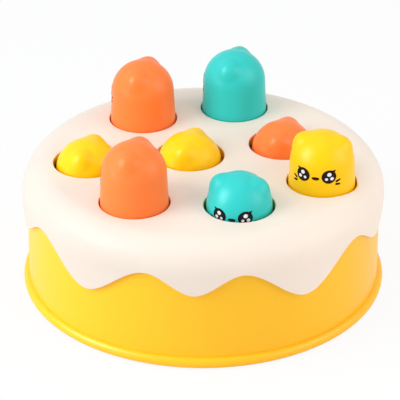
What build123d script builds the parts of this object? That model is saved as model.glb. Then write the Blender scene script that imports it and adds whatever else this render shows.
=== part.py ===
from build123d import *
import os
from math import asin, cos, degrees, hypot, pi, radians, sin, tan

# Cake-shaped whack-a-mole toy: a yellow drum under a white icing cover, with eight moles
# that work in four see-saw pairs. Lengths in millimetres, angles in degrees, Z up,
# origin on the table under the middle of the drum.

# Icing cover
deck_height = 83.0
icing_wall = 2.5
shoulder_radius = 19.0
drip_crest = 18.6
drip_short = 31.6
drip_long = 40.8
drip_pairs = 5
drip_phase = 20.4
drip_crest_share = 0.2056
socket_depth = 5.5
socket_round = 0.5
sleeve_wall = 1.5
sleeve_overlap = 1.0
sleeve_spacing = 8.3
sleeve_margin = 10.1
boss_inset = 20.0
boss_radius = 4.5
boss_angles = (69.0, 123.0, 176.0, 231.0, 284.0, 356.0)

# Drum
bead_radius = 3.5
wall_flare = 0.5
drum_wall = 2.5
drum_lip_angle = 30.0
ledge_depth = 6.0
ledge_thickness = 2.0

# Base plate, its screw posts and the see-saw cheeks
plate_recess = 2.5
plate_thickness = 2.5
pad_height = 2.0
pad_radius = 5.0
post_height = 26.0
post_wall = 1.6
post_roof = 4.0
cheek_thickness = 3.0
cheek_radius = 5.0
cheek_foot = 11.0

# Screws and pivot pins
screw_radius = 1.4
screw_head_radius = 3.2
screw_head_height = 2.0
screw_bite = 10.0
pin_radius = 2.0
pin_overhang = 0.6
pin_chamfer = 0.4

# Moles
mole_radius = 20.0
mole_draft = 2.6
mole_wall = 2.0
mole_rise = 19.8
half_travel = 12.6
ear_radius = 8.0
ear_stand = 2.7
ear_lean = 45.0
ear_blend = 7.0

# Plungers
flange_lip = 1.9
flange_thickness = 2.5
collar_height = 6.0
collar_wall = 1.6
stem_radius = 5.0
stem_rib = 2.0
foot_thickness = 2.0
key_width = 3.0
key_depth = 1.2

# Rockers
nose_lead = 1.5
nose_radius = 5.0
arm_tip_radius = 2.2
hub_radius = 6.0
rocker_width = 8.0
rocker_web = 3.0
pocket_margin = 1.2

# Clearances
drum_gap = 0.5
plate_gap = 0.3
hole_gap = 0.6
stop_gap = 0.3
sleeve_gap = 0.4
key_gap = 0.35
collar_gap = 0.1
nose_gap = 0.5
cheek_gap = 0.4
pin_gap = 0.05
pilot_gap = 0.05
screw_gap = 0.3
head_gap = 0.4
cut_over = 2.0

# See-saws: place of the pivot as shares of the pitch between two heads, heading of the far
# arm, share of the full tilt at rest, where the faces look, and the ends from far to near
pivot_shares = {
    "left": (-1.079, 0.063),
    "mid": (-0.081, 0.645),
    "right": (0.904, 0.356),
    "near": (0.308, -1.040),
}
arm_angles = {"left": 90.0, "mid": 90.0, "right": 90.0, "near": 0.0}
tilt_shares = {"left": -1.0, "mid": 1.0, "right": 1.0, "near": 0.504}
face_angles = {"left": 132.0, "mid": 132.0, "right": 132.0, "near": 225.0}
end_names = {
    "left": ("back", "front"),
    "mid": ("back", "front"),
    "right": ("back", "front"),
    "near": ("right", "left"),
}

# Sizes of the heads' wells, which set how far apart the heads stand
draft = radians(mole_draft)
mole_skirt = mole_rise + socket_depth + stop_gap


def skirt_radius(crown, drop):
    """Radius of a flared skirt at a drop below the middle of its round crown."""
    return crown * cos(draft) + (drop + crown * sin(draft)) * tan(draft)


hole_radius = skirt_radius(mole_radius, mole_skirt) + hole_gap
flange_radius = hole_radius + flange_lip
sleeve_radius = flange_radius + sleeve_gap
sleeve_outside = sleeve_radius + sleeve_wall
pair_pitch = 2 * sleeve_outside + sleeve_spacing


def place_of(saw):
    """Where a see-saw's pivot stands."""
    across, along = pivot_shares[saw]
    return (pair_pitch * across, pair_pitch * along)


def mole_posts():
    """Every mole: its name, place, lift from mid travel at rest and heading of its face."""
    posts = []
    for saw, ends in end_names.items():
        pivot = place_of(saw)
        turn = radians(arm_angles[saw])
        for end, side in zip(ends, (1, -1)):
            reach = side * pair_pitch / 2
            place = (pivot[0] + reach * cos(turn), pivot[1] + reach * sin(turn))
            lift = side * tilt_shares[saw] * half_travel
            posts.append((f"{saw}_{end}", place, lift, face_angles[saw]))
    return posts


mole_places = [place for _, place, _, _ in mole_posts()]

# Sizes of the cake, which goes round all the wells
icing_radius = max(hypot(*place) for place in mole_places) + sleeve_outside + sleeve_margin
icing_inside = icing_radius - icing_wall
flat_radius = icing_radius - shoulder_radius
shoulder_base = deck_height - shoulder_radius
deck_under = deck_height - icing_wall
drum_radius = icing_inside - drum_gap
foot_radius = drum_radius + wall_flare
plate_radius = foot_radius - drum_wall - plate_gap
plate_top = plate_recess + plate_thickness

# Sizes of the see-saws and of what holds the base on
arm_length = pair_pitch / 2 + nose_lead
full_tilt = degrees(asin(half_travel / arm_length))
pivot_height = plate_top + pad_height + stop_gap + nose_radius + half_travel
stop_height = deck_height - socket_depth
flange_top = stop_height - stop_gap
foot_drop = flange_top - pivot_height - half_travel - nose_radius - nose_gap
sleeve_bottom = flange_top - flange_thickness - 2 * half_travel - sleeve_overlap
post_top = plate_top + post_height
seat_height = post_top - post_roof
counterbore = screw_head_radius + head_gap
post_radius = counterbore + post_wall
boss_circle = icing_radius - boss_inset
boss_places = [
    (boss_circle * cos(radians(turn)), boss_circle * sin(radians(turn))) for turn in boss_angles
]


def upright(place, height, heading, tilt=0):
    """Plane through an upright axis: x runs out along the heading, raised by the tilt."""
    turn = radians(heading)
    rise = radians(tilt)
    x_dir = (cos(turn) * cos(rise), sin(turn) * cos(rise), sin(rise))
    z_dir = (sin(turn), -cos(turn), 0)
    return Plane(origin=(*place, height), x_dir=x_dir, z_dir=z_dir)


def level(place, height, heading=0):
    """Level plane at a place, with x along the heading."""
    turn = radians(heading)
    return Plane(origin=(*place, height), x_dir=(cos(turn), sin(turn), 0), z_dir=(0, 0, 1))


os.makedirs("parts", exist_ok=True)


def hand_over(builder, name):
    """Label a finished piece and write it to its file."""
    builder.part.label = name
    export_step(builder.part, f"parts/{name}.step")


# The hollow under the icing, with the sleeves and the screw bosses left standing in it
core_bottom = post_top - cut_over
with BuildPart() as icing_core:
    with BuildSketch(Plane.XZ):
        with BuildLine():
            inner_turn = CenterArc(
                (flat_radius, shoulder_base), shoulder_radius - icing_wall, 0, 90
            )
            Polyline(
                inner_turn @ 1,
                (0, deck_under),
                (0, core_bottom),
                (icing_inside, core_bottom),
                inner_turn @ 0,
            )
        make_face()
    revolve(axis=Axis.Z)
    with BuildSketch(Plane.XY.offset(sleeve_bottom)):
        with Locations(*mole_places):
            Circle(sleeve_outside)
    extrude(amount=deck_height - sleeve_bottom, mode=Mode.SUBTRACT)
    with BuildSketch(Plane.XY.offset(post_top)):
        with Locations(*boss_places):
            Circle(boss_radius)
    extrude(amount=deck_height - post_top, mode=Mode.SUBTRACT)


def drip_edge(radius):
    """The icing's lower edge all the way round, on a cylinder of the given radius."""
    outline = (
        (0, drip_short),
        (drip_crest_share, drip_crest),
        (1 / 2, drip_long),
        (1 - drip_crest_share, drip_crest),
    )
    points = []
    tangents = []
    for lap in range(drip_pairs):
        for share, drop in outline:
            turn = radians(drip_phase) + 2 * pi * (lap + share) / drip_pairs
            points.append((radius * cos(turn), radius * sin(turn), deck_height - drop))
            tangents.append((-sin(turn), cos(turn), 0))
    return Spline(points, tangents=tangents, periodic=True)


with BuildLine() as drip_inside:
    drip_edge(icing_inside - cut_over)
with BuildLine() as drip_outside:
    drip_edge(icing_radius + cut_over)
drip_face = Face.make_surface_from_curves(drip_inside.edge(), drip_outside.edge())

with BuildPart() as icing_cover:
    with BuildSketch(Plane.XZ):
        with BuildLine():
            outer_turn = CenterArc((flat_radius, shoulder_base), shoulder_radius, 0, 90)
            Polyline(
                outer_turn @ 1,
                (0, deck_height),
                (0, post_top),
                (icing_radius, post_top),
                outer_turn @ 0,
            )
        make_face()
    revolve(axis=Axis.Z)
    add(icing_core.part, mode=Mode.SUBTRACT)
    extrude(drip_face, amount=deck_height - post_top, dir=(0, 0, -1), mode=Mode.SUBTRACT)
    with BuildSketch(Plane.XY.offset(sleeve_bottom)):
        with Locations(*mole_places):
            Circle(sleeve_radius)
    extrude(amount=stop_height - sleeve_bottom, mode=Mode.SUBTRACT)
    for _, place, _, face in mole_posts():
        with BuildSketch(level(place, sleeve_bottom, face)):
            with Locations((sleeve_radius, 0), (-sleeve_radius, 0)):
                Rectangle(2 * key_depth, key_width)
        extrude(amount=stop_height - sleeve_bottom)
    with BuildSketch(Plane.XY.offset(stop_height)):
        with Locations(*mole_places):
            Circle(hole_radius)
    extrude(amount=socket_depth, mode=Mode.SUBTRACT)
    socket_rims = icing_cover.edges(Select.LAST).filter_by_position(
        Axis.Z, deck_height - socket_depth / 3, deck_height + socket_depth
    )
    fillet(socket_rims, socket_round)
    with BuildSketch(Plane.XY.offset(post_top)):
        with Locations(*boss_places):
            Circle(screw_radius + pilot_gap)
    extrude(amount=screw_bite + cut_over, mode=Mode.SUBTRACT)
hand_over(icing_cover, "icing_cover")

with BuildPart() as cake_drum:
    with BuildSketch(Plane.XZ):
        with BuildLine():
            bead = CenterArc((foot_radius, bead_radius), bead_radius, -90, 180)
            lip = CenterArc(
                (flat_radius, shoulder_base), drum_radius - flat_radius, 0, drum_lip_angle
            )
            lip_inside = CenterArc(
                (flat_radius, shoulder_base),
                drum_radius - drum_wall - flat_radius,
                0,
                drum_lip_angle,
            )
            Line(bead @ 1, lip @ 0)
            Line(lip @ 1, lip_inside @ 1)
            foot_inside = foot_radius - drum_wall
            Polyline(
                lip_inside @ 0,
                (foot_inside, plate_top + ledge_thickness),
                (foot_inside - ledge_depth, plate_top + ledge_thickness),
                (foot_inside - ledge_depth, plate_top),
                (foot_inside, plate_top),
                (foot_inside, 0),
                bead @ 0,
            )
        make_face()
    revolve(axis=Axis.Z)
hand_over(cake_drum, "cake_drum")

cheek_inside = rocker_width / 2 + cheek_gap
cheek_outside = cheek_inside + cheek_thickness
with BuildPart() as base_plate:
    with BuildSketch(Plane.XY.offset(plate_recess)):
        Circle(plate_radius)
    extrude(amount=plate_thickness)
    with BuildSketch(Plane.XY.offset(plate_recess)):
        with Locations(*boss_places):
            Circle(post_radius)
    extrude(amount=post_top - plate_recess)
    for saw, heading in arm_angles.items():
        swing = upright(place_of(saw), pivot_height, heading)
        for side in (1, -1):
            with BuildSketch(swing.offset(side * cheek_inside)):
                Circle(cheek_radius)
                with Locations((0, plate_top - pivot_height - plate_thickness / 2)):
                    Rectangle(2 * cheek_foot, plate_thickness)
                make_hull()
            extrude(amount=side * cheek_thickness)
        with BuildSketch(swing):
            Circle(pin_radius + pin_gap)
        extrude(amount=cheek_outside + cut_over, both=True, mode=Mode.SUBTRACT)
        pad_reach = arm_length * cos(radians(full_tilt))
        with BuildSketch(level(place_of(saw), plate_top, heading)):
            with Locations((pad_reach, 0), (-pad_reach, 0)):
                Circle(pad_radius)
        extrude(amount=pad_height)
    with BuildSketch(Plane.XY.offset(plate_recess)):
        with Locations(*boss_places):
            Circle(counterbore)
    extrude(amount=seat_height - plate_recess, mode=Mode.SUBTRACT)
    with BuildSketch(Plane.XY.offset(seat_height)):
        with Locations(*boss_places):
            Circle(screw_radius + screw_gap)
    extrude(amount=post_roof, mode=Mode.SUBTRACT)
hand_over(base_plate, "base_plate")

with BuildPart() as base_screws:
    with BuildSketch(Plane.XY.offset(seat_height - screw_head_height)):
        with Locations(*boss_places):
            Circle(screw_head_radius)
    extrude(amount=screw_head_height)
    with BuildSketch(Plane.XY.offset(seat_height)):
        with Locations(*boss_places):
            Circle(screw_radius)
    extrude(amount=post_roof + screw_bite)
hand_over(base_screws, "base_screws")


def arm_half(reach):
    """Half the depth of a rocker's arm at a reach from its pivot."""
    return hub_radius + (arm_tip_radius - hub_radius) * reach / arm_length


def build_rocker(saw, heading):
    """One see-saw rocker with a nose at each end, standing at its tilt at rest."""
    swing = upright(place_of(saw), pivot_height, heading, tilt_shares[saw] * full_tilt)
    pocket_start = hub_radius + pocket_margin
    pocket_end = arm_length - nose_radius - pocket_margin
    pocket_depth = (rocker_width - rocker_web) / 2
    with BuildPart() as rocker:
        for side in (1, -1):
            with BuildSketch(swing):
                Circle(hub_radius)
                with Locations((side * arm_length, 0)):
                    Circle(arm_tip_radius)
                make_hull()
                with Locations((side * arm_length, 0)):
                    Circle(nose_radius)
            extrude(amount=rocker_width / 2, both=True)
        for face in (1, -1):
            with BuildSketch(swing.offset(face * rocker_width / 2)):
                for side in (1, -1):
                    deep = arm_half(pocket_start) - pocket_margin
                    slim = arm_half(pocket_end) - pocket_margin
                    with BuildLine():
                        Polyline(
                            (side * pocket_start, deep),
                            (side * pocket_end, slim),
                            (side * pocket_end, -slim),
                            (side * pocket_start, -deep),
                            close=True,
                        )
                    make_face()
            extrude(amount=-face * pocket_depth, mode=Mode.SUBTRACT)
        with BuildSketch(swing):
            Circle(pin_radius + pin_gap)
        extrude(amount=rocker_width, both=True, mode=Mode.SUBTRACT)
    hand_over(rocker, f"rocker_{saw}")


def build_pin(saw, heading):
    """The steel pin that a rocker turns on."""
    with BuildPart() as pin:
        with BuildSketch(upright(place_of(saw), pivot_height, heading)):
            Circle(pin_radius)
        extrude(amount=cheek_outside + pin_overhang, both=True)
        chamfer(pin.edges().filter_by(GeomType.CIRCLE), pin_chamfer)
    hand_over(pin, f"pivot_pin_{saw}")


for saw, heading in arm_angles.items():
    build_rocker(saw, heading)
    build_pin(saw, heading)


def crown_section(section, crown):
    """Half section of a round crown on a flared skirt, about the middle of the crown."""
    with BuildSketch(section) as half:
        with BuildLine():
            dome = CenterArc((0, 0), crown, mole_draft, 90 - mole_draft)
            skirt_edge = (skirt_radius(crown, mole_skirt), -mole_skirt)
            Polyline(dome @ 1, (0, -mole_skirt), skirt_edge, dome @ 0)
        make_face()
    return half.sketch


def build_mole(name, place, lift, face):
    """A mole's hollow head: dome, flared skirt and two round ears."""
    section = upright(place, deck_height + mole_rise - half_travel + lift, face)
    ear_middle = mole_radius + ear_stand - ear_radius
    ear_up = ear_middle * cos(radians(ear_lean))
    ear_out = ear_middle * sin(radians(ear_lean))
    ears = [section.from_local_coords((0, ear_up, side * ear_out)) for side in (1, -1)]
    stand = Axis((*place, 0), (0, 0, 1))
    with BuildPart() as mole:
        revolve(crown_section(section, mole_radius), axis=stand)
        with Locations(*ears):
            Sphere(ear_radius)
        fillet(mole.edges(Select.NEW), ear_blend)
        hollow = crown_section(section, mole_radius - mole_wall)
        revolve(hollow, axis=stand, mode=Mode.SUBTRACT)
    hand_over(mole, f"mole_{name}")


def build_plunger(name, place, lift, face):
    """A mole's plunger: collar inside the head, keyed flange, ribbed stem and foot."""
    flange_height = flange_top - half_travel + lift
    section = upright(place, flange_height + mole_skirt, face)
    lining = mole_radius - mole_wall
    low = skirt_radius(lining, mole_skirt) - collar_gap
    high = skirt_radius(lining, mole_skirt - collar_height) - collar_gap
    key_floor = sleeve_radius - key_depth - key_gap
    with BuildPart() as plunger:
        with BuildSketch(level(place, flange_height, face)):
            Circle(flange_radius)
            with Locations((sleeve_radius, 0), (-sleeve_radius, 0)):
                Rectangle(
                    2 * (sleeve_radius - key_floor), key_width + 2 * key_gap, mode=Mode.SUBTRACT
                )
        extrude(amount=-flange_thickness)
        with BuildSketch(section):
            with BuildLine():
                Polyline(
                    (low, -mole_skirt),
                    (high, collar_height - mole_skirt),
                    (high - collar_wall, collar_height - mole_skirt),
                    (low - collar_wall, -mole_skirt),
                    close=True,
                )
            make_face()
        revolve(axis=Axis((*place, 0), (0, 0, 1)))
        with BuildSketch(level(place, flange_height - foot_drop, face)):
            Rectangle(2 * stem_radius, stem_rib)
            Rectangle(stem_rib, 2 * stem_radius)
        extrude(amount=foot_drop - flange_thickness)
        with BuildSketch(level(place, flange_height - foot_drop, face)):
            Circle(stem_radius)
        extrude(amount=foot_thickness)
    hand_over(plunger, f"plunger_{name}")


for name, place, lift, face in mole_posts():
    build_mole(name, place, lift, face)
    build_plunger(name, place, lift, face)
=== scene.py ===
"""Looks of the cake-shaped whack-a-mole toy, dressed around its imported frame."""

from math import acos, cos, hypot, pi, radians, sin

import bpy
from bpy.props import FloatProperty, FloatVectorProperty, PointerProperty
from bpy.types import Operator, Panel, PropertyGroup
from mathutils import Matrix, Vector


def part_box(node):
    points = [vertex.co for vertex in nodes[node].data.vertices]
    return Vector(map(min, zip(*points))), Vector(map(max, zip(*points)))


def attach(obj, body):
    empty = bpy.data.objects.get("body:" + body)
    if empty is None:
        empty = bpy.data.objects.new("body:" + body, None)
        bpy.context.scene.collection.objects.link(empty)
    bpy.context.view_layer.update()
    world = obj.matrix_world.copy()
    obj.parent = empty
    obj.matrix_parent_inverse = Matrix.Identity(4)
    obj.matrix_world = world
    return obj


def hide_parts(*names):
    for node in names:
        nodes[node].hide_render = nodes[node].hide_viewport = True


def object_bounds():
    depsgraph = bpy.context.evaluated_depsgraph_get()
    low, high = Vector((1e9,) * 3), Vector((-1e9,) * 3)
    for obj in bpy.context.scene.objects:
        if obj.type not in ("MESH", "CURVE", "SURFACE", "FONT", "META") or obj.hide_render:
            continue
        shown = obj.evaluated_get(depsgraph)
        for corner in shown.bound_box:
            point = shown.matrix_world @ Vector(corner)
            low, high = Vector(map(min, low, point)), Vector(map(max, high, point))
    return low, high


bl_info = {
    "name": "Cake whack-a-mole toy",
    "version": (1, 0, 0),
    "blender": (4, 5, 0),
    "location": "View3D > Sidebar > Cake toy",
    "description": "Finishes, printed faces and studio for a cake-shaped whack-a-mole toy",
    "category": "Object",
}

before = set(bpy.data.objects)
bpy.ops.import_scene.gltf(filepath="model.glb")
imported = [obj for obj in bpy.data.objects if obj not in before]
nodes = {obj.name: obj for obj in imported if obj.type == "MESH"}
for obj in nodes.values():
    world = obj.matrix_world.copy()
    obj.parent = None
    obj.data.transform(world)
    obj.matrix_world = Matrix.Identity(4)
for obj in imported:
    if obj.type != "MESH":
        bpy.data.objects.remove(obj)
cad_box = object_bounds()

# Colour of each head; the first word of a head's name is its see-saw
HEAD_COLOURS = {
    "left_back": "yellow",
    "left_front": "orange",
    "mid_back": "orange",
    "mid_front": "yellow",
    "right_back": "teal",
    "right_front": "orange",
    "near_right": "yellow",
    "near_left": "teal",
}
# Headings in degrees: where the faces over a see-saw look, and halfway between a head's ears
FACE_HEADINGS = {"left": 116.0, "mid": 120.0, "right": 116.0, "near": 225.0}
EAR_HEADINGS = {"left": 132.0, "mid": 132.0, "right": 132.0, "near": 225.0}
# Turn from that halfway heading to each ear, in degrees
EAR_TURNS = (90.0, -90.0)
# How far a head's print sits above or below its usual place
PRINT_SHIFTS = {"near_left": 0.0009, "near_right": -0.0002}

# A socket's wall stands this far outside a head, and its rounded rim is this high
SOCKET_REACH = 0.0016
SOCKET_RIM = 0.0008

# Fineness of a head: sides round it, rings on the plain skirt and rings where the ears run out
HEAD_SIDES = 96
PLAIN_RINGS = 5
SOFT_RINGS = 44
# Arc above the dome's middle from which the finer rings start
SOFT_FROM = -0.008
# Edges of a head that turn by more than this stay crisp
CRISP_ANGLE = radians(45.0)

# Noise in the finishes: its middle value, how its finer layers fade, and the layers of each use
NOISE_MIDDLE = 0.5
NOISE_FADE = 0.5
CLOUD_LAYERS = 2.0
GRAIN_LAYERS = 3.0
SCUFF_LAYERS = 4.0
# Noise levels at which a scuff begins and at which it is full
SCUFF_STOPS = ((0.45, 0.0), (0.75, 1.0))
# Steel: turning marks per metre, their layers, contrast and added roughness, and its own
MARK_SCALE = 1800.0
MARK_LAYERS = 2.0
MARK_DEPTH = 0.1
MARK_DULLING = 0.16
STEEL_ROUGHNESS = 0.22
# Ink: patches per metre, their layers, contrast and added roughness, and the ink's reflection
PATCH_SCALE = 900.0
PATCH_LAYERS = 3.0
PATCH_DEPTH = 0.08
PATCH_DULLING = 0.12
INK_GLOSS = 0.05

# Inks of the faces: the setting of the colour, and the roughness
DULL_INK = 0.50
SMOOTH_INK = 0.46
INKS = {
    "ink_black": ("ink", DULL_INK),
    "ink_white": ("shine", SMOOTH_INK),
    "ink_iris_warm": ("iris", SMOOTH_INK),
    "ink_iris_cool": ("cool_iris", SMOOTH_INK),
    "ink_mouth_warm": ("lips", DULL_INK),
    "ink_mouth_cool": ("cool_lips", DULL_INK),
}
# The inks of one face, in the order of the names under them
WARM_INKS = ("ink_black", "ink_iris_warm", "ink_white", "ink_mouth_warm")
COOL_INKS = ("ink_black", "ink_iris_cool", "ink_white", "ink_mouth_cool")
OUTLINE, IRIS, SHINE, LIPS = range(4)

# Height of a patch of ink over the skin, in layers
LOW_INK = 1
LASH_INK = 1.5
MIDDLE_INK = 2
TOP_INK = 3
# Fineness of a patch: points round its edge and rings from its middle to the edge
EYE_POINTS, EYE_RINGS = 48, 6
IRIS_POINTS, IRIS_RINGS = 48, 5
SHINE_POINTS, SHINE_RINGS = 28, 3
STROKE_POINTS, STROKE_RINGS = 20, 2
MOUTH_POINTS, MOUTH_RINGS = 32, 3
# White spots of an eye: place as shares of half the eye, outwards and up, and size as a share
SHINE_SPOTS = ((0.02, 0.36, 0.29), (0.40, -0.27, 0.24), (-0.34, -0.33, 0.20))
# Whiskers and lash beside an eye: start and end as shares of half the eye, outwards and up
WHISKERS = (((1.08, -0.78), (1.54, -0.58)), ((1.06, -1.20), (1.52, -1.26)))
LASH = ((0.50, 0.74), (0.78, 0.90))
# A stroke's width at its end against its start, and the lash's width against a whisker's
WHISKER_TAPER = 0.8
LASH_TAPER = 0.5
LASH_WIDTH = 1.2
# How far the top of the mouth is flattened; the inside's own top, and its drop, width and height
# as shares of the mouth
MOUTH_FLAT = 0.35
LIPS_FLAT = 0.5
LIPS_DROP = 0.06
LIPS_WIDTH = 0.72
LIPS_HEIGHT = 0.62

# Lamps: way from the toy's middle (towards the camera, to its right, up), metres for each unit
# of that way, size in metres, and the setting of the tint
LAMPS = {
    "key": ((0.36, -0.90, 0.70), 0.85, 0.65, "key_tint"),
    "fill": ((0.42, 0.95, 0.50), 0.85, 0.80, "fill_tint"),
    "left_shine": ((0.22, -0.95, 0.70), 0.85, 0.60, "shine_tint"),
    "right_shine": ((0.20, 1.00, 0.52), 0.85, 0.60, "shine_tint"),
    "top": ((0.0, 0.0, 1.0), 0.90, 0.80, "top_tint"),
    "side": ((0.42, -0.90, 0.26), 0.58, 0.30, "key_tint"),
}
# Lamps that only make highlights, and the lamp that lights only the coloured plastics
SHINE_LAMPS = ("left_shine", "right_shine")
COLOUR_LAMP = "side"

# Floor: half its width, its gap under the toy, its greys and the clouds between them per metre
FLOOR_HALF = 3.0
FLOOR_GAP = 0.0002
FLOOR_GREYS = (0.84, 0.86)
FLOOR_CLOUDS = 3.0
# Camera: width of its sensor in millimetres, and how far it sees
SENSOR_WIDTH = 36.0
SIGHT_END = 20.0


class Flow:
    """One output of a node, with arithmetic on its values."""

    def __init__(self, paint, socket):
        self.paint = paint
        self.socket = socket

    def __add__(self, other):
        return self.paint.maths("ADD", self, other)

    def __radd__(self, other):
        return self.paint.maths("ADD", other, self)

    def __sub__(self, other):
        return self.paint.maths("SUBTRACT", self, other)

    def __rsub__(self, other):
        return self.paint.maths("SUBTRACT", other, self)

    def __mul__(self, other):
        return self.paint.maths("MULTIPLY", self, other)

    def __rmul__(self, other):
        return self.paint.maths("MULTIPLY", other, self)


def opaque(colour, level=1.0):
    """A colour with full alpha, made lighter or darker by the level."""
    return tuple(min(channel * level, 1.0) for channel in colour) + (1.0,)


def grey(level):
    """A grey with full alpha."""
    return opaque((level, level, level))


class Paint:
    """A node tree being filled, for a material or for the world."""

    def __init__(self, tree):
        self.tree = tree
        tree.nodes.clear()

    def node(self, kind, settings=None, sockets=None, output=0):
        """Add a node: its settings first, then its sockets' values or links."""
        made = self.tree.nodes.new(kind)
        for name, value in (settings or {}).items():
            if name == "stops":
                self.fill_ramp(made.color_ramp, value)
            else:
                setattr(made, name, value)
        for name, value in (sockets or {}).items():
            if isinstance(value, Flow):
                self.tree.links.new(value.socket, made.inputs[name])
            else:
                made.inputs[name].default_value = value
        return Flow(self, made.outputs[output]) if len(made.outputs) else None

    def fill_ramp(self, ramp, stops):
        """Set a ramp's stops, given as pairs of place and grey level."""
        while len(ramp.elements) < len(stops):
            ramp.elements.new(1.0)
        for element, (place, level) in zip(ramp.elements, stops):
            element.position = place
            element.color = grey(level)

    def maths(self, operation, first, second):
        """A sum on values."""
        return self.node("ShaderNodeMath", {"operation": operation}, {0: first, 1: second})

    def blend(self, share, first, second):
        """A colour between two colours."""
        # A Mix node's sockets share their names, so they go by number
        return self.node(
            "ShaderNodeMix", {"data_type": "RGBA"}, {0: share, 6: first, 7: second}, output=2
        )

    def uneven(self, share, colour, depth):
        """A colour that wanders as far to its darker as to its lighter side."""
        return self.blend(share, opaque(colour, 1.0 - depth), opaque(colour, 1.0 + depth))

    def place(self):
        """Where a point of the surface is, in the toy's own frame."""
        return self.node("ShaderNodeTexCoord", output="Object")

    def noise(self, place, scale, layers):
        """Soft random values from 0 to 1 over the surface."""
        return self.node(
            "ShaderNodeTexNoise",
            {"noise_dimensions": "3D"},
            {"Vector": place, "Scale": scale, "Detail": layers, "Roughness": NOISE_FADE},
        )

    def surface(self, shader):
        """Show a shader on the material's surface."""
        self.node("ShaderNodeOutputMaterial", None, {"Surface": shader})


def new_paint(name):
    """A named material with an empty node tree."""
    material = bpy.data.materials.new(name)
    material.use_nodes = True
    return material, Paint(material.node_tree)


def satin_plastic(name, look, colour, gloss, lining=None):
    """Moulded plastic: faint cloudy colour, soft gloss and a fine mould grain.

    A lining is a pair of a mask function and the colour that shows where the mask is 1.
    """
    material, paint = new_paint(name)
    place = paint.place()
    cloud = paint.noise(place, look.cloud_scale, CLOUD_LAYERS)
    grain = paint.noise(place, look.grain_scale, GRAIN_LAYERS)
    scuff = paint.node(
        "ShaderNodeValToRGB",
        {"stops": SCUFF_STOPS},
        {"Fac": paint.noise(place, look.cloud_scale * look.scuff_ratio, SCUFF_LAYERS)},
    )
    tone = paint.uneven(cloud, colour, look.cloud_depth)
    if lining:
        mask, inside = lining
        tone = paint.blend(mask(paint, place), tone, opaque(inside))
    wander = (cloud - NOISE_MIDDLE) * look.gloss_spread
    bump = paint.node(
        "ShaderNodeBump",
        None,
        {"Height": grain, "Strength": look.grain_strength, "Distance": look.grain_depth},
    )
    shader = paint.node(
        "ShaderNodeBsdfPrincipled",
        None,
        {
            "Base Color": tone,
            "Roughness": look.roughness + wander + scuff * look.scuff_dulling,
            "Normal": bump,
            "Specular IOR Level": gloss,
        },
    )
    paint.surface(shader)
    return material


def brushed_steel(name, colour):
    """Bright plated steel with fine turning marks."""
    material, paint = new_paint(name)
    marks = paint.noise(paint.place(), MARK_SCALE, MARK_LAYERS)
    shader = paint.node(
        "ShaderNodeBsdfPrincipled",
        None,
        {
            "Base Color": paint.uneven(marks, colour, MARK_DEPTH),
            "Metallic": 1.0,
            "Roughness": STEEL_ROUGHNESS + marks * MARK_DULLING,
        },
    )
    paint.surface(shader)
    return material


def print_ink(name, colour, roughness):
    """Pad-printed ink: nearly even colour with a little unevenness in its gloss."""
    material, paint = new_paint(name)
    patches = paint.noise(paint.place(), PATCH_SCALE, PATCH_LAYERS)
    shader = paint.node(
        "ShaderNodeBsdfPrincipled",
        None,
        {
            "Base Color": paint.uneven(patches, colour, PATCH_DEPTH),
            "Roughness": roughness + patches * PATCH_DULLING,
            "Specular IOR Level": INK_GLOSS,
        },
    )
    paint.surface(shader)
    return material


def socket_mask(paint, place):
    """1 on the walls of the eight sockets, below the deck's rounded rims."""
    height = paint.node("ShaderNodeSeparateXYZ", None, {0: place}, output="Z")
    level = paint.node(
        "ShaderNodeVectorMath", {"operation": "MULTIPLY"}, {0: place, 1: (1.0, 1.0, 0.0)}
    )
    nearest = None
    for head in HEAD_COLOURS:
        low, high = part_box(f"mole_{head}")
        axis = ((low.x + high.x) / 2, (low.y + high.y) / 2, 0.0)
        apart = paint.node(
            "ShaderNodeVectorMath", {"operation": "DISTANCE"}, {0: level, 1: axis}, output="Value"
        )
        nearest = apart if nearest is None else paint.maths("MINIMUM", nearest, apart)
    # All heads are alike, so the last one's width serves
    reach = (high.x - low.x) / 2 + SOCKET_REACH
    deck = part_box("icing_cover")[1].z
    under = paint.maths("LESS_THAN", height, deck - SOCKET_RIM)
    return under * paint.maths("LESS_THAN", nearest, reach)


def dress(node, material):
    """Give a node of the frame its finish."""
    slots = nodes[node].data.materials
    slots.clear()
    slots.append(material)


def add_object(name, data):
    """A new object in the scene, holding a mesh, a lamp or a camera."""
    item = bpy.data.objects.new(name, data)
    bpy.context.scene.collection.objects.link(item)
    return item


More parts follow.
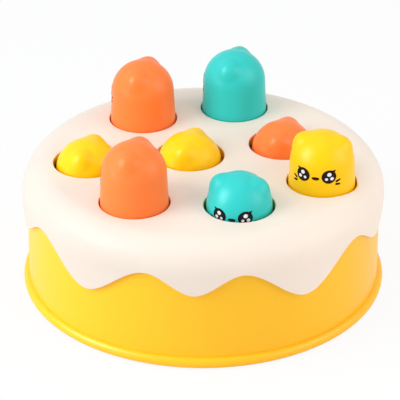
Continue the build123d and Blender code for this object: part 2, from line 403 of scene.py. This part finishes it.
class PlasticLook(PropertyGroup):
    """How the moulded plastic looks close up."""

    cloud_scale: FloatProperty(
        name="Cloud scale", description="Clouds of colour per metre", default=22.0
    )
    cloud_depth: FloatProperty(
        name="Cloud depth",
        description="How far the colour wanders",
        default=0.025,
        subtype="FACTOR",
    )
    scuff_ratio: FloatProperty(
        name="Scuff ratio", description="Scuffs for each cloud of colour", default=9.0
    )
    scuff_dulling: FloatProperty(
        name="Scuff dulling",
        description="Roughness that handling adds",
        default=0.07,
        subtype="FACTOR",
    )
    roughness: FloatProperty(
        name="Roughness",
        description="Roughness of the satin skin",
        default=0.33,
        subtype="FACTOR",
    )
    gloss_spread: FloatProperty(
        name="Gloss spread",
        description="How far the roughness wanders",
        default=0.10,
        subtype="FACTOR",
    )
    head_gloss: FloatProperty(
        name="Head gloss",
        description="Strength of a head's reflection",
        default=0.20,
        subtype="FACTOR",
    )
    drum_gloss: FloatProperty(
        name="Drum gloss",
        description="Strength of the drum's reflection",
        default=0.30,
        subtype="FACTOR",
    )
    icing_gloss: FloatProperty(
        name="Icing gloss",
        description="Strength of the icing's reflection",
        default=0.11,
        subtype="FACTOR",
    )
    grain_scale: FloatProperty(
        name="Grain scale", description="Mould grain per metre", default=2600.0
    )
    grain_strength: FloatProperty(
        name="Grain strength",
        description="Strength of the mould grain",
        default=0.22,
        subtype="FACTOR",
    )
    grain_depth: FloatProperty(
        name="Grain depth",
        description="Depth of the mould grain",
        default=0.00004,
        unit="LENGTH",
    )


class ColourLook(PropertyGroup):
    """Colours of the plastic, the steel and the inks."""

    icing: FloatVectorProperty(
        name="Icing",
        description="Warm white icing",
        default=(0.88, 0.755, 0.662),
        subtype="COLOR",
    )
    drum: FloatVectorProperty(
        name="Drum",
        description="Amber drum, base plate and socket walls",
        default=(1.0, 0.520, 0.012),
        subtype="COLOR",
    )
    orange: FloatVectorProperty(
        name="Orange",
        description="Orange heads and their plungers",
        default=(0.98, 0.208, 0.041),
        subtype="COLOR",
    )
    teal: FloatVectorProperty(
        name="Teal",
        description="Teal heads and their plungers",
        default=(0.030, 0.548, 0.510),
        subtype="COLOR",
    )
    yellow: FloatVectorProperty(
        name="Yellow",
        description="Yellow heads and their plungers",
        default=(1.0, 0.572, 0.001),
        subtype="COLOR",
    )
    mechanism: FloatVectorProperty(
        name="Mechanism",
        description="Rockers under the deck",
        default=(0.80, 0.80, 0.77),
        subtype="COLOR",
    )
    steel: FloatVectorProperty(
        name="Steel",
        description="Pins and screws",
        default=(0.58, 0.58, 0.57),
        subtype="COLOR",
    )
    ink: FloatVectorProperty(
        name="Ink",
        description="Outlines of the faces",
        default=(0.010, 0.003, 0.003),
        subtype="COLOR",
    )
    iris: FloatVectorProperty(
        name="Iris",
        description="Inside of the eyes",
        default=(0.026, 0.013, 0.014),
        subtype="COLOR",
    )
    cool_iris: FloatVectorProperty(
        name="Cool iris",
        description="Inside of teal heads' eyes",
        default=(0.013, 0.018, 0.024),
        subtype="COLOR",
    )
    lips: FloatVectorProperty(
        name="Lips",
        description="Inside of the mouth",
        default=(0.070, 0.006, 0.004),
        subtype="COLOR",
    )
    cool_lips: FloatVectorProperty(
        name="Cool lips",
        description="Inside of teal heads' mouths",
        default=(0.010, 0.040, 0.045),
        subtype="COLOR",
    )
    shine: FloatVectorProperty(
        name="Shine",
        description="White spots in the eyes",
        default=(0.90, 0.87, 0.86),
        subtype="COLOR",
    )


class HeadLook(PropertyGroup):
    """Sizes of a head and of its ears."""

    dome_radius: FloatProperty(
        name="Dome radius",
        description="Radius of a head's dome",
        default=0.020,
        unit="LENGTH",
    )
    draft: FloatProperty(
        name="Draft",
        description="Flare of a head's skirt",
        default=radians(2.6),
        subtype="ANGLE",
    )
    wall: FloatProperty(
        name="Wall",
        description="Thickness of a head's wall",
        default=0.0020,
        unit="LENGTH",
    )
    ear_lean: FloatProperty(
        name="Ear lean",
        description="Ear's tilt from upright",
        default=radians(45.0),
        subtype="ANGLE",
    )
    ear_stand: FloatProperty(
        name="Ear stand",
        description="Height of an ear over the dome",
        default=0.0029,
        unit="LENGTH",
    )
    ear_round: FloatProperty(
        name="Ear round",
        description="Lower is rounder on top, higher is softer at the foot",
        default=2.3,
    )
    ear_below: FloatProperty(
        name="Ear below",
        description="How far an ear runs out downwards",
        default=radians(31.0),
        subtype="ANGLE",
    )
    ear_above: FloatProperty(
        name="Ear above",
        description="How far an ear runs out upwards",
        default=radians(30.0),
        subtype="ANGLE",
    )
    ear_side: FloatProperty(
        name="Ear side",
        description="How far an ear runs out sideways",
        default=radians(28.5),
        subtype="ANGLE",
    )


class FaceLook(PropertyGroup):
    """Sizes of the printed faces, measured along the skin of a head."""

    eye_turn: FloatProperty(
        name="Eye turn",
        description="Eye from the middle of the face",
        default=radians(23.8),
        subtype="ANGLE",
    )
    eye_rise: FloatProperty(
        name="Eye rise",
        description="Eyes above the dome's middle",
        default=-0.0003,
        unit="LENGTH",
    )
    eye_width: FloatProperty(
        name="Eye width", description="Width of an eye", default=0.0092, unit="LENGTH"
    )
    eye_height: FloatProperty(
        name="Eye height", description="Height of an eye", default=0.0088, unit="LENGTH"
    )
    iris_share: FloatProperty(
        name="Iris share",
        description="Inside of the eye against its outline",
        default=0.84,
        subtype="FACTOR",
    )
    mouth_width: FloatProperty(
        name="Mouth width", description="Width of the mouth", default=0.0047, unit="LENGTH"
    )
    mouth_height: FloatProperty(
        name="Mouth height",
        description="Height of the mouth before its top is flattened",
        default=0.0026,
        unit="LENGTH",
    )
    mouth_drop: FloatProperty(
        name="Mouth drop", description="Mouth below the eyes", default=0.0011, unit="LENGTH"
    )
    stroke: FloatProperty(
        name="Stroke", description="Width of a whisker", default=0.00145, unit="LENGTH"
    )
    ink_lift: FloatProperty(
        name="Ink lift",
        description="Thickness of one layer of ink",
        default=0.00005,
        unit="LENGTH",
    )


class StageLook(PropertyGroup):
    """Camera, lamps and floor."""

    lens: FloatProperty(
        name="Lens", description="Focal length of the camera", default=209.6, unit="CAMERA"
    )
    azimuth: FloatProperty(
        name="Azimuth",
        description="Camera's turn about the toy",
        default=radians(-30.8),
        subtype="ANGLE",
    )
    elevation: FloatProperty(
        name="Elevation",
        description="Camera's height as an angle",
        default=radians(29.02),
        subtype="ANGLE",
    )
    distance: FloatProperty(
        name="Distance",
        description="Camera from the toy's middle",
        default=1.472,
        unit="LENGTH",
    )
    middle: FloatProperty(
        name="Middle",
        description="Height the camera circles and the lamps face",
        default=0.060,
        unit="LENGTH",
    )
    aim_side: FloatProperty(
        name="Aim side",
        description="Aim to the right of the middle",
        default=-0.0021,
        unit="LENGTH",
    )
    aim_rise: FloatProperty(
        name="Aim rise",
        description="Aim above the middle",
        default=-0.00604,
        unit="LENGTH",
    )
    sky: FloatProperty(
        name="Sky", description="Soft light from all round", default=0.61, subtype="FACTOR"
    )
    key: FloatProperty(
        name="Key", description="Power of the lamp on the left", default=5.4, unit="POWER"
    )
    fill: FloatProperty(
        name="Fill", description="Power of the lamp on the right", default=3.4, unit="POWER"
    )
    left_shine: FloatProperty(
        name="Left shine",
        description="Power of the left lamp for highlights",
        default=5.5,
        unit="POWER",
    )
    right_shine: FloatProperty(
        name="Right shine",
        description="Power of the right lamp for highlights",
        default=2.4,
        unit="POWER",
    )
    top: FloatProperty(
        name="Top", description="Power of the lamp above", default=1.75, unit="POWER"
    )
    side: FloatProperty(
        name="Side",
        description="Power of the near left lamp on the coloured plastics",
        default=1.15,
        unit="POWER",
    )
    key_tint: FloatVectorProperty(
        name="Key tint",
        description="Colour of the left lamp and the near left lamp",
        default=(0.88, 0.95, 1.0),
        subtype="COLOR",
    )
    fill_tint: FloatVectorProperty(
        name="Fill tint",
        description="Colour of the right lamp",
        default=(1.0, 0.96, 0.91),
        subtype="COLOR",
    )
    shine_tint: FloatVectorProperty(
        name="Shine tint",
        description="Colour of the lamps for highlights",
        default=(1.0, 1.0, 1.0),
        subtype="COLOR",
    )
    top_tint: FloatVectorProperty(
        name="Top tint",
        description="Colour of the lamp above",
        default=(0.80, 0.98, 1.0),
        subtype="COLOR",
    )
    floor_white: FloatProperty(
        name="Floor white",
        description="Share of plain white in the floor",
        default=0.9,
        subtype="FACTOR",
    )


class CakeToySettings(PropertyGroup):
    """All settings of the toy's looks."""

    plastic: PointerProperty(type=PlasticLook)
    colours: PointerProperty(type=ColourLook)
    head: PointerProperty(type=HeadLook)
    face: PointerProperty(type=FaceLook)
    stage: PointerProperty(type=StageLook)


class HeadSkin:
    """The outside of one head: a dome on a flared skirt, with two soft ears."""

    def __init__(self, head, look):
        low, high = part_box(f"mole_{head}")
        saw = head.split("_")[0]
        self.look = look
        self.radius = look.dome_radius
        self.draft = look.draft
        self.heading = radians(FACE_HEADINGS[saw])
        self.ear_headings = [radians(EAR_HEADINGS[saw] + turn) for turn in EAR_TURNS]
        self.shift = PRINT_SHIFTS.get(head, 0.0)
        self.middle = Vector(((low.x + high.x) / 2, (low.y + high.y) / 2, high.z - self.radius))
        self.foot = low.z
        # An ear's tip and the way down from it, seen with the ear's heading as x
        self.tip = Vector((sin(look.ear_lean), 0.0, cos(look.ear_lean)))
        self.downhill = Vector((cos(look.ear_lean), 0.0, -sin(look.ear_lean)))

    def level(self, up):
        """Reach, height and slope of the skin at an arc above the dome's middle."""
        join = self.radius * self.draft
        slope = max(up / self.radius, self.draft)
        run = max(join - up, 0.0)
        reach = self.radius * cos(slope) + run * sin(slope)
        return reach, self.radius * sin(slope) - run * cos(slope), slope

    def crown(self):
        """The arc at the top of the dome."""
        return self.radius * pi / 2

    def lowest(self):
        """The arc at the skirt's edge."""
        drop = self.middle.z - self.foot + self.radius * sin(self.draft)
        return self.radius * self.draft - drop / cos(self.draft)

    def arcs(self):
        """Arcs of the rings round the head, from the skirt's edge to just below the crown."""
        low, high = self.lowest(), self.crown()
        plain = [low + (SOFT_FROM - low) * step / PLAIN_RINGS for step in range(PLAIN_RINGS)]
        soft = [SOFT_FROM + (high - SOFT_FROM) * step / SOFT_RINGS for step in range(SOFT_RINGS)]
        return plain + soft

    def ears(self, turn, up):
        """How far the ears push the skin out at a heading and an arc above the dome's middle."""
        look = self.look
        lean = pi / 2 - up / self.radius
        total = 0.0
        for heading in self.ear_headings:
            aside = turn - heading
            spot = Vector((sin(lean) * cos(aside), sin(lean) * sin(aside), cos(lean)))
            away = acos(max(min(spot.dot(self.tip), 1.0), -1.0))
            down = spot.dot(self.downhill)
            across = spot.y
            size = hypot(down, across) or 1.0
            reach = look.ear_below if down > 0 else look.ear_above
            lengthwise = away * down / size / reach
            crosswise = away * across / size / look.ear_side
            share = lengthwise**2 + crosswise**2
            total += look.ear_stand * max(1.0 - share, 0.0) ** look.ear_round
        return total

    def spot(self, turn, up, lift, with_ears=True):
        """Point over the skin at a heading and an arc above the dome's middle."""
        reach, height, slope = self.level(up)
        if with_ears:
            lift += self.ears(turn, up)
        out = reach + lift * cos(slope)
        rise = max(self.middle.z + height + lift * sin(slope), self.foot)
        return Vector((self.middle.x + out * cos(turn), self.middle.y + out * sin(turn), rise))

    def point(self, across, up, lift):
        """Point over the skin, from arcs across and up from the middle of the face."""
        rise = up + self.shift
        return self.spot(self.heading + across / self.level(rise)[0], rise, lift)


def shell_faces(first, rings, over):
    """Faces of a head's skin or lining, from its lowest ring to the crown."""
    faces = []
    last = first + (rings - 1) * HEAD_SIDES
    for step in range(HEAD_SIDES):
        after = (step + 1) % HEAD_SIDES
        for low in range(first, last, HEAD_SIDES):
            high = low + HEAD_SIDES
            faces.append((low + step, low + after, high + after, high + step))
        faces.append((last + step, last + after, last + HEAD_SIDES))
    return faces if over else [tuple(reversed(face)) for face in faces]


def build_head(name, skin, wall):
    """One hollow head: its skin with the ears, its lining and the skirt's edge between them."""
    arcs = skin.arcs()
    points = []
    faces = []
    starts = []
    for lift, outside in ((0.0, True), (-wall, False)):
        starts.append(len(points))
        faces += shell_faces(len(points), len(arcs), outside)
        for up in arcs:
            for step in range(HEAD_SIDES):
                points.append(skin.spot(2 * pi * step / HEAD_SIDES, up, lift, outside))
        points.append(skin.spot(0.0, skin.crown(), lift, False))
    outer, inner = starts
    for step in range(HEAD_SIDES):
        after = (step + 1) % HEAD_SIDES
        faces.append((outer + after, outer + step, inner + step, inner + after))
    mesh = bpy.data.meshes.new(name)
    mesh.from_pydata(points, [], faces)
    mesh.polygons.foreach_set("use_smooth", [True] * len(faces))
    mesh.set_sharp_from_angle(angle=CRISP_ANGLE)
    mesh.update()
    return add_object(name, mesh)


def oval(middle, width, height, count, flat_top=0.0):
    """Outline of an oval, counter-clockwise as seen from outside; the top may be flattened."""
    points = []
    for step in range(count):
        turn = 2 * pi * step / count
        up = sin(turn) * height / 2
        if up > 0:
            up *= 1.0 - flat_top
        points.append((middle[0] + cos(turn) * width / 2, middle[1] + up))
    return middle, points


def dash(start, end, width, taper):
    """Outline of a short round-ended stroke that thins towards its end."""
    along = Vector((end[0] - start[0], end[1] - start[1])).normalized()
    aside = Vector((-along.y, along.x))
    count = STROKE_POINTS // 2
    points = []
    for tip, size, first in ((end, width * taper, -pi / 2), (start, width, pi / 2)):
        for step in range(count):
            turn = first + pi * step / (count - 1)
            shift = (along * cos(turn) + aside * sin(turn)) * size / 2
            points.append((tip[0] + shift.x, tip[1] + shift.y))
    return ((start[0] + end[0]) / 2, (start[1] + end[1]) / 2), points


class PrintSheet:
    """Collects the printed patches of one face as closed thin tiles."""

    def __init__(self, skin, layer):
        self.skin = skin
        self.layer = layer
        self.points = []
        self.faces = []
        self.inks = []

    def patch(self, outline, ink, layers, rings):
        """One patch of ink: a tile from just under the skin to its layer above it."""
        middle, edge = outline
        count = len(edge)
        starts = []
        for lift in (self.layer * layers, -self.layer):
            starts.append(len(self.points))
            self.points.append(self.skin.point(*middle, lift))
            for ring in range(1, rings + 1):
                share = ring / rings
                for across, up in edge:
                    spot = (
                        middle[0] + (across - middle[0]) * share,
                        middle[1] + (up - middle[1]) * share,
                    )
                    self.points.append(self.skin.point(*spot, lift))
        for first, over in zip(starts, (True, False)):
            for step in range(count):
                after = (step + 1) % count
                self.add((first, first + 1 + step, first + 1 + after), ink, over)
                for ring in range(rings - 1):
                    low = first + 1 + ring * count
                    high = low + count
                    self.add((low + step, high + step, high + after, low + after), ink, over)
        top, under = (first + 1 + (rings - 1) * count for first in starts)
        for step in range(count):
            after = (step + 1) % count
            self.add((top + step, under + step, under + after, top + after), ink, True)

    def add(self, face, ink, over):
        """One polygon, turned over when it belongs to the underside."""
        self.faces.append(face if over else tuple(reversed(face)))
        self.inks.append(ink)

    def build(self, name, materials):
        """Make the face as one object."""
        mesh = bpy.data.meshes.new(name)
        mesh.from_pydata(self.points, [], self.faces)
        for material in materials:
            mesh.materials.append(material)
        mesh.polygons.foreach_set("material_index", self.inks)
        mesh.update()
        return add_object(name, mesh)


class Eye:
    """One eye of a face, on the side given as 1 or -1."""

    def __init__(self, sheet, look, side):
        self.sheet = sheet
        self.look = look
        self.side = side
        self.middle = (side * look.eye_turn * sheet.skin.radius, look.eye_rise)

    def spot(self, out, up):
        """A place given as shares of half the eye, outwards and up from its middle."""
        return (
            self.middle[0] + self.side * out * self.look.eye_width / 2,
            self.middle[1] + up * self.look.eye_height / 2,
        )

    def disc(self, middle, size, points):
        """An oval like the eye, with its size as a share of the eye."""
        return oval(middle, self.look.eye_width * size, self.look.eye_height * size, points)

    def stroke(self, ends, width, taper):
        """A stroke between two places."""
        start, end = ends
        return dash(self.spot(*start), self.spot(*end), width, taper)

    def lay(self):
        """Print the eye's outline, inside and white spots, and its whiskers and lash."""
        patch, look = self.sheet.patch, self.look
        patch(self.disc(self.middle, 1.0, EYE_POINTS), OUTLINE, LOW_INK, EYE_RINGS)
        inside = self.disc(self.middle, look.iris_share, IRIS_POINTS)
        patch(inside, IRIS, MIDDLE_INK, IRIS_RINGS)
        for out, up, size in SHINE_SPOTS:
            white = self.disc(self.spot(out, up), size, SHINE_POINTS)
            patch(white, SHINE, TOP_INK, SHINE_RINGS)
        for ends in WHISKERS:
            whisker = self.stroke(ends, look.stroke, WHISKER_TAPER)
            patch(whisker, OUTLINE, LOW_INK, STROKE_RINGS)
        lash = self.stroke(LASH, look.stroke * LASH_WIDTH, LASH_TAPER)
        patch(lash, OUTLINE, LASH_INK, STROKE_RINGS)


def lay_mouth(sheet, look):
    """Print the small mouth and its inside."""
    width, height = look.mouth_width, look.mouth_height
    middle = (0.0, look.eye_rise - look.mouth_drop)
    outline = oval(middle, width, height, MOUTH_POINTS, MOUTH_FLAT)
    sheet.patch(outline, OUTLINE, LOW_INK, MOUTH_RINGS)
    lower = (middle[0], middle[1] - height * LIPS_DROP)
    inside = oval(lower, width * LIPS_WIDTH, height * LIPS_HEIGHT, MOUTH_POINTS, LIPS_FLAT)
    sheet.patch(inside, LIPS, MIDDLE_INK, MOUTH_RINGS)


def print_face(skin, look):
    """Lay out one face: two eyes with lashes and whiskers, and a small mouth."""
    sheet = PrintSheet(skin, look.ink_lift)
    for side in (1, -1):
        Eye(sheet, look, side).lay()
    lay_mouth(sheet, look)
    return sheet


def seen_directly(paint):
    """1 for what the camera sees straight, mirrored or through glass, 0 for light on the toy."""
    camera, mirrored, through = (
        paint.node("ShaderNodeLightPath", output=f"Is {kind} Ray")
        for kind in ("Camera", "Glossy", "Transmission")
    )
    return paint.maths("MAXIMUM", camera, paint.maths("MAXIMUM", mirrored, through))


def add_sky(scene, look):
    """Even light from all round, seen by the camera as plain white."""
    scene.world = bpy.data.worlds.new("studio_sky")
    scene.world.use_nodes = True
    paint = Paint(scene.world.node_tree)
    level = look.sky + seen_directly(paint) * (1.0 - look.sky)
    sky = paint.node("ShaderNodeBackground", None, {"Color": grey(1.0), "Strength": level})
    paint.node("ShaderNodeOutputWorld", None, {"Surface": sky})


def add_floor(look):
    """A wide pale floor that stays almost white and keeps a soft shadow."""
    low = cad_box[0].z - FLOOR_GAP
    corners = [
        (x * FLOOR_HALF, y * FLOOR_HALF, low) for x, y in ((-1, -1), (1, -1), (1, 1), (-1, 1))
    ]
    mesh = bpy.data.meshes.new("floor")
    mesh.from_pydata(corners, [], [(0, 1, 2, 3)])
    floor = add_object("floor", mesh)
    material, paint = new_paint("floor_white")
    clouds = paint.noise(paint.place(), FLOOR_CLOUDS, CLOUD_LAYERS)
    darker, lighter = FLOOR_GREYS
    tone = paint.blend(clouds, grey(darker), grey(lighter))
    matte = paint.node("ShaderNodeBsdfDiffuse", None, {"Color": tone})
    white = paint.node("ShaderNodeEmission", None, {"Color": grey(1.0), "Strength": 1.0})
    share = seen_directly(paint) * look.floor_white
    paint.surface(paint.node("ShaderNodeMixShader", None, {0: share, 1: matte, 2: white}))
    mesh.materials.append(material)


def camera_axes(look):
    """Directions of the camera: back towards it, to its right and up."""
    turn, rise = look.azimuth, look.elevation
    back = Vector((sin(turn) * cos(rise), -cos(turn) * cos(rise), sin(rise)))
    right = Vector((cos(turn), sin(turn), 0.0))
    return back, right, back.cross(right)


def coloured_plastics():
    """A collection of the drum and the heads, for the lamp that lights only them."""
    takers = bpy.data.collections.new("coloured_plastics")
    takers.objects.link(nodes["cake_drum"])
    for head in HEAD_COLOURS:
        takers.objects.link(bpy.data.objects[f"head_{head}"])
    return takers


def add_lamps(look):
    """Square soft lamps that face the toy's middle."""
    back, right, _ = camera_axes(look)
    level_back = Vector((back.x, back.y, 0.0)).normalized()
    lift = Vector((0.0, 0.0, 1.0))
    middle = lift * look.middle
    for name, (way, unit, size, tint) in LAMPS.items():
        towards, aside, up = way
        lamp = bpy.data.lights.new(f"{name}_lamp", "AREA")
        lamp.shape = "SQUARE"
        lamp.size = size
        lamp.energy = getattr(look, name)
        lamp.color = getattr(look, tint)
        place = middle + (level_back * towards + right * aside + lift * up) * unit
        holder = add_object(f"{name}_lamp", lamp)
        holder.location = place
        holder.rotation_euler = (middle - place).to_track_quat("-Z", "Y").to_euler()
        if name in SHINE_LAMPS:
            holder.visible_diffuse = False
        if name == COLOUR_LAMP:
            holder.light_linking.receiver_collection = coloured_plastics()


def add_camera(scene, look):
    """The camera at the photograph's viewing angle."""
    lens = bpy.data.cameras.new("camera")
    lens.lens = look.lens
    lens.sensor_width = SENSOR_WIDTH
    lens.clip_end = SIGHT_END
    back, right, up = camera_axes(look)
    middle = Vector((0.0, 0.0, look.middle))
    place = middle + back * look.distance
    aim = middle + right * look.aim_side + up * look.aim_rise
    view = (aim - place).to_track_quat("-Z", "Y")
    camera = add_object("camera", lens)
    camera.matrix_world = Matrix.Translation(place) @ view.to_matrix().to_4x4()
    scene.camera = camera


class CAKETOY_OT_cake(Operator):
    """Finish the icing cover, the drum and the base plate"""

    bl_idname = "cake_toy.cake"
    bl_label = "Icing and drum"

    def execute(self, context):
        plastic, colours = context.scene.cake_toy.plastic, context.scene.cake_toy.colours
        sockets = (socket_mask, colours.drum)
        icing = satin_plastic("icing_satin", plastic, colours.icing, plastic.icing_gloss, sockets)
        drum = satin_plastic("drum_satin", plastic, colours.drum, plastic.drum_gloss)
        dress("icing_cover", icing)
        dress("cake_drum", drum)
        dress("base_plate", drum)
        return {"FINISHED"}


class CAKETOY_OT_heads(Operator):
    """Make the eight heads with their soft ears, and finish them and their plungers"""

    bl_idname = "cake_toy.heads"
    bl_label = "Heads"

    def execute(self, context):
        look = context.scene.cake_toy
        gloss = look.plastic.head_gloss
        finishes = {
            name: satin_plastic(f"head_{name}", look.plastic, getattr(look.colours, name), gloss)
            for name in ("orange", "teal", "yellow")
        }
        for head, colour in HEAD_COLOURS.items():
            dress(f"mole_{head}", finishes[colour])
            dress(f"plunger_{head}", finishes[colour])
            piece = build_head(f"head_{head}", HeadSkin(head, look.head), look.head.wall)
            piece.data.materials.append(finishes[colour])
            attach(piece, f"{head}_mole")
            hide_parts(f"mole_{head}")
        return {"FINISHED"}


class CAKETOY_OT_faces(Operator):
    """Print a face on every head"""

    bl_idname = "cake_toy.faces"
    bl_label = "Printed faces"

    def execute(self, context):
        look = context.scene.cake_toy
        inks = {
            name: print_ink(name, getattr(look.colours, colour), roughness)
            for name, (colour, roughness) in INKS.items()
        }
        for head, colour in HEAD_COLOURS.items():
            names = COOL_INKS if colour == "teal" else WARM_INKS
            sheet = print_face(HeadSkin(head, look.head), look.face)
            piece = sheet.build(f"face_{head}", [inks[name] for name in names])
            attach(piece, f"{head}_mole")
        return {"FINISHED"}


class CAKETOY_OT_works(Operator):
    """Finish the rockers, the pins and the screws"""

    bl_idname = "cake_toy.works"
    bl_label = "See-saws and fasteners"

    def execute(self, context):
        plastic, colours = context.scene.cake_toy.plastic, context.scene.cake_toy.colours
        plain = satin_plastic("works_white", plastic, colours.mechanism, plastic.icing_gloss)
        steel = brushed_steel("pin_steel", colours.steel)
        for name in nodes:
            if name.startswith("rocker_"):
                dress(name, plain)
            elif name.startswith("pivot_pin_") or name == "base_screws":
                dress(name, steel)
        return {"FINISHED"}


class CAKETOY_OT_stage(Operator):
    """Set up the floor, the soft lamps and the camera"""

    bl_idname = "cake_toy.stage"
    bl_label = "Stage"

    def execute(self, context):
        scene = context.scene
        look = scene.cake_toy.stage
        scene.view_settings.view_transform = "Standard"
        add_sky(scene, look)
        add_floor(look)
        add_lamps(look)
        add_camera(scene, look)
        return {"FINISHED"}


OPERATORS = (
    CAKETOY_OT_cake,
    CAKETOY_OT_heads,
    CAKETOY_OT_faces,
    CAKETOY_OT_works,
    CAKETOY_OT_stage,
)


class CAKETOY_PT_sidebar(Panel):
    """The toy's steps in the sidebar"""

    bl_idname = "CAKETOY_PT_sidebar"
    bl_label = "Cake toy"
    bl_space_type = "VIEW_3D"
    bl_region_type = "UI"
    bl_category = "Cake toy"

    def draw(self, context):
        for step in OPERATORS:
            self.layout.operator(step.bl_idname)


CLASSES = (
    PlasticLook,
    ColourLook,
    HeadLook,
    FaceLook,
    StageLook,
    CakeToySettings,
    *OPERATORS,
    CAKETOY_PT_sidebar,
)


def register():
    """Make the toy's settings, steps and panel known."""
    for item in CLASSES:
        bpy.utils.register_class(item)
    bpy.types.Scene.cake_toy = PointerProperty(type=CakeToySettings)


def unregister():
    """Take the toy's settings, steps and panel away again."""
    del bpy.types.Scene.cake_toy
    for item in reversed(CLASSES):
        bpy.utils.unregister_class(item)


def main():
    """Dress the toy."""
    register()
    bpy.ops.cake_toy.cake()
    bpy.ops.cake_toy.heads()
    bpy.ops.cake_toy.faces()
    bpy.ops.cake_toy.works()
    bpy.ops.cake_toy.stage()


if __name__ == "__main__":
    main()
